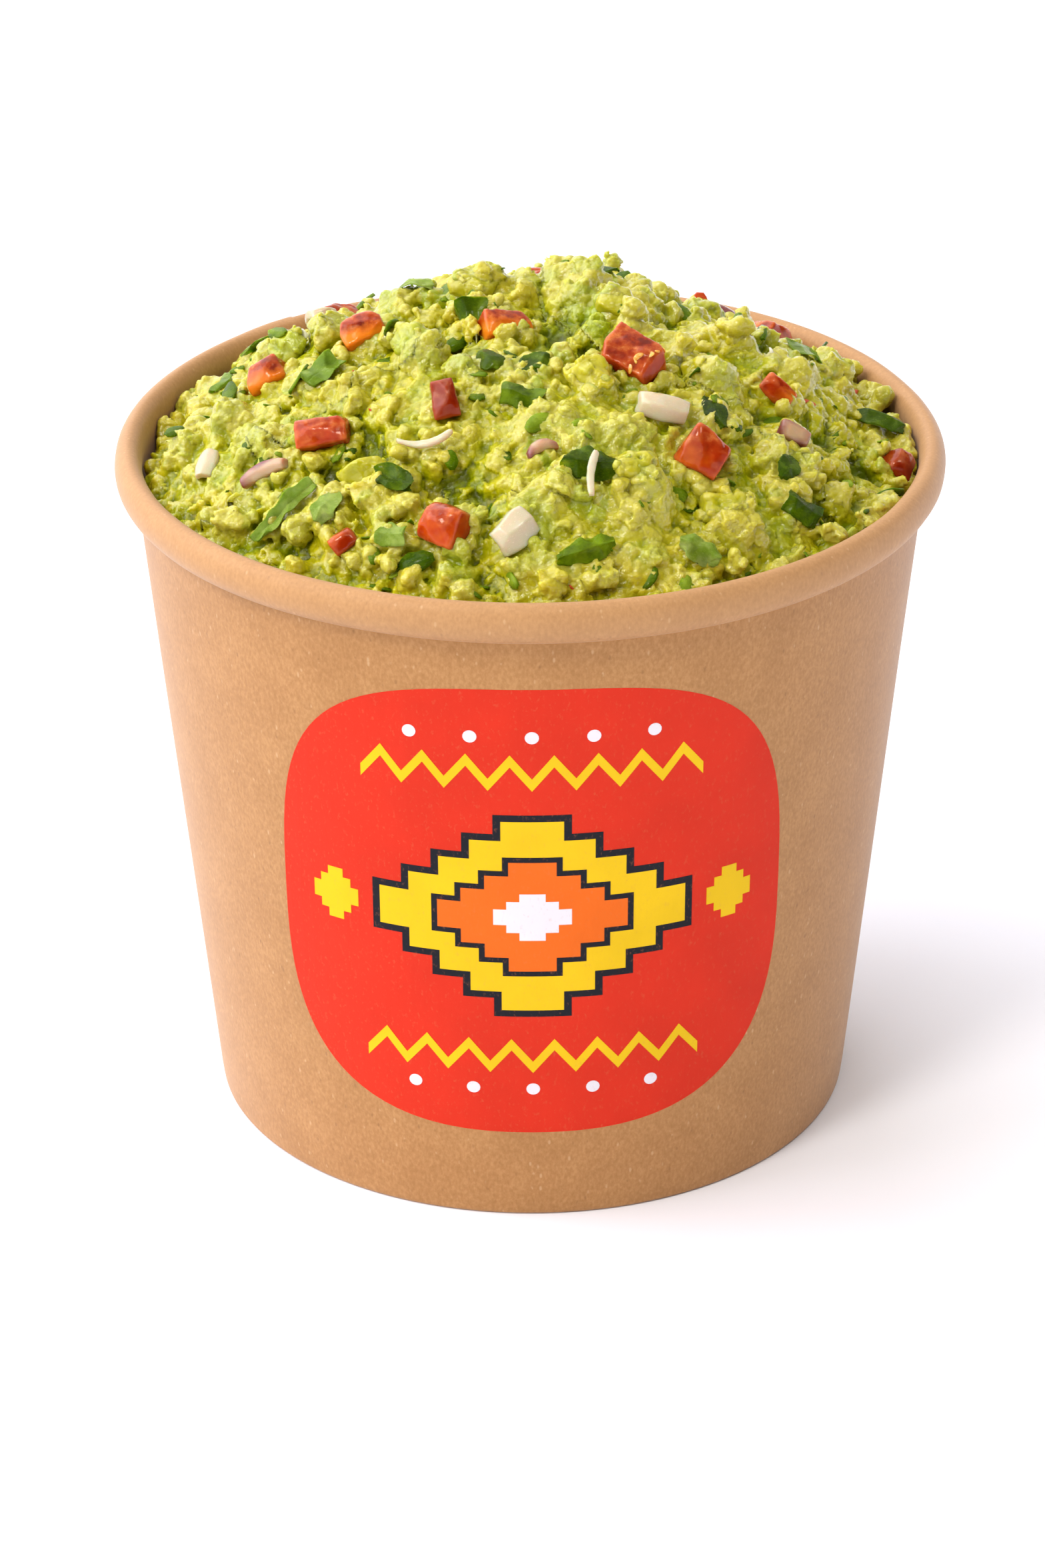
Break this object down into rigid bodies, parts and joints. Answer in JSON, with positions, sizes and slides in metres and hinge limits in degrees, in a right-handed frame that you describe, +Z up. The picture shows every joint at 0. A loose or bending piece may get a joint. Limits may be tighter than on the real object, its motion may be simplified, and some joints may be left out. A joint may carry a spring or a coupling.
{
  "type": "guacamole in a kraft board tub",
  "caption": "Chunky guacamole with diced tomato, onion and chopped herbs, heaped above the rolled rim of a round kraft board tub.",
  "frame": {"origin": "middle of the tub's foot ring, on the surface it stands on", "axes": "+Z up along the tub's axis; -Y towards the printed front; +X to the right as seen from the front"},
  "size_m": [0.098, 0.098, 0.1019],
  "materials": {
    "kraft_board": "brown kraft board, matt, with fine fibre flecks",
    "avocado_mash": "moist mashed avocado, yellow-green, with soft highlights",
    "tomato": "wet cut tomato, red with an orange cast",
    "white_onion": "wet white onion, slightly see-through",
    "red_onion": "wet red onion, dull purple",
    "herb": "wet chopped green herb"
  },
  "bodies": {
    "root": {"tub_wall": "kraft_board", "tub_floor": "kraft_board", "tomato_1": "tomato", "tomato_2": "tomato", "tomato_3": "tomato", "tomato_4": "tomato", "tomato_5": "tomato", "tomato_6": "tomato", "tomato_7": "tomato", "tomato_8": "tomato", "tomato_9": "tomato", "tomato_10": "tomato", "tomato_11": "tomato", "tomato_12": "tomato", "tomato_13": "tomato", "tomato_14": "tomato", "tomato_15": "tomato", "tomato_16": "tomato", "onion_1": "white_onion", "onion_2": "white_onion", "onion_3": "white_onion", "onion_4": "white_onion", "onion_5": "white_onion", "onion_6": "white_onion", "onion_7": "white_onion", "onion_8": "white_onion", "red_onion_1": "red_onion", "red_onion_2": "red_onion", "red_onion_3": "red_onion", "red_onion_4": "red_onion", "herb_1": "herb", "herb_2": "herb", "herb_3": "herb", "herb_4": "herb", "herb_5": "herb", "herb_6": "herb", "herb_7": "herb", "herb_8": "herb", "herb_9": "herb", "herb_10": "herb", "herb_11": "herb", "herb_12": "herb", "herb_13": "herb", "herb_14": "herb", "herb_15": "herb", "herb_16": "herb", "herb_17": "herb", "herb_18": "herb", "herb_19": "herb", "herb_20": "herb", "herb_21": "herb", "herb_22": "herb", "herb_23": "herb", "herb_24": "herb", "herb_25": "herb", "guacamole": "avocado_mash"}
  },
  "joints": []
}
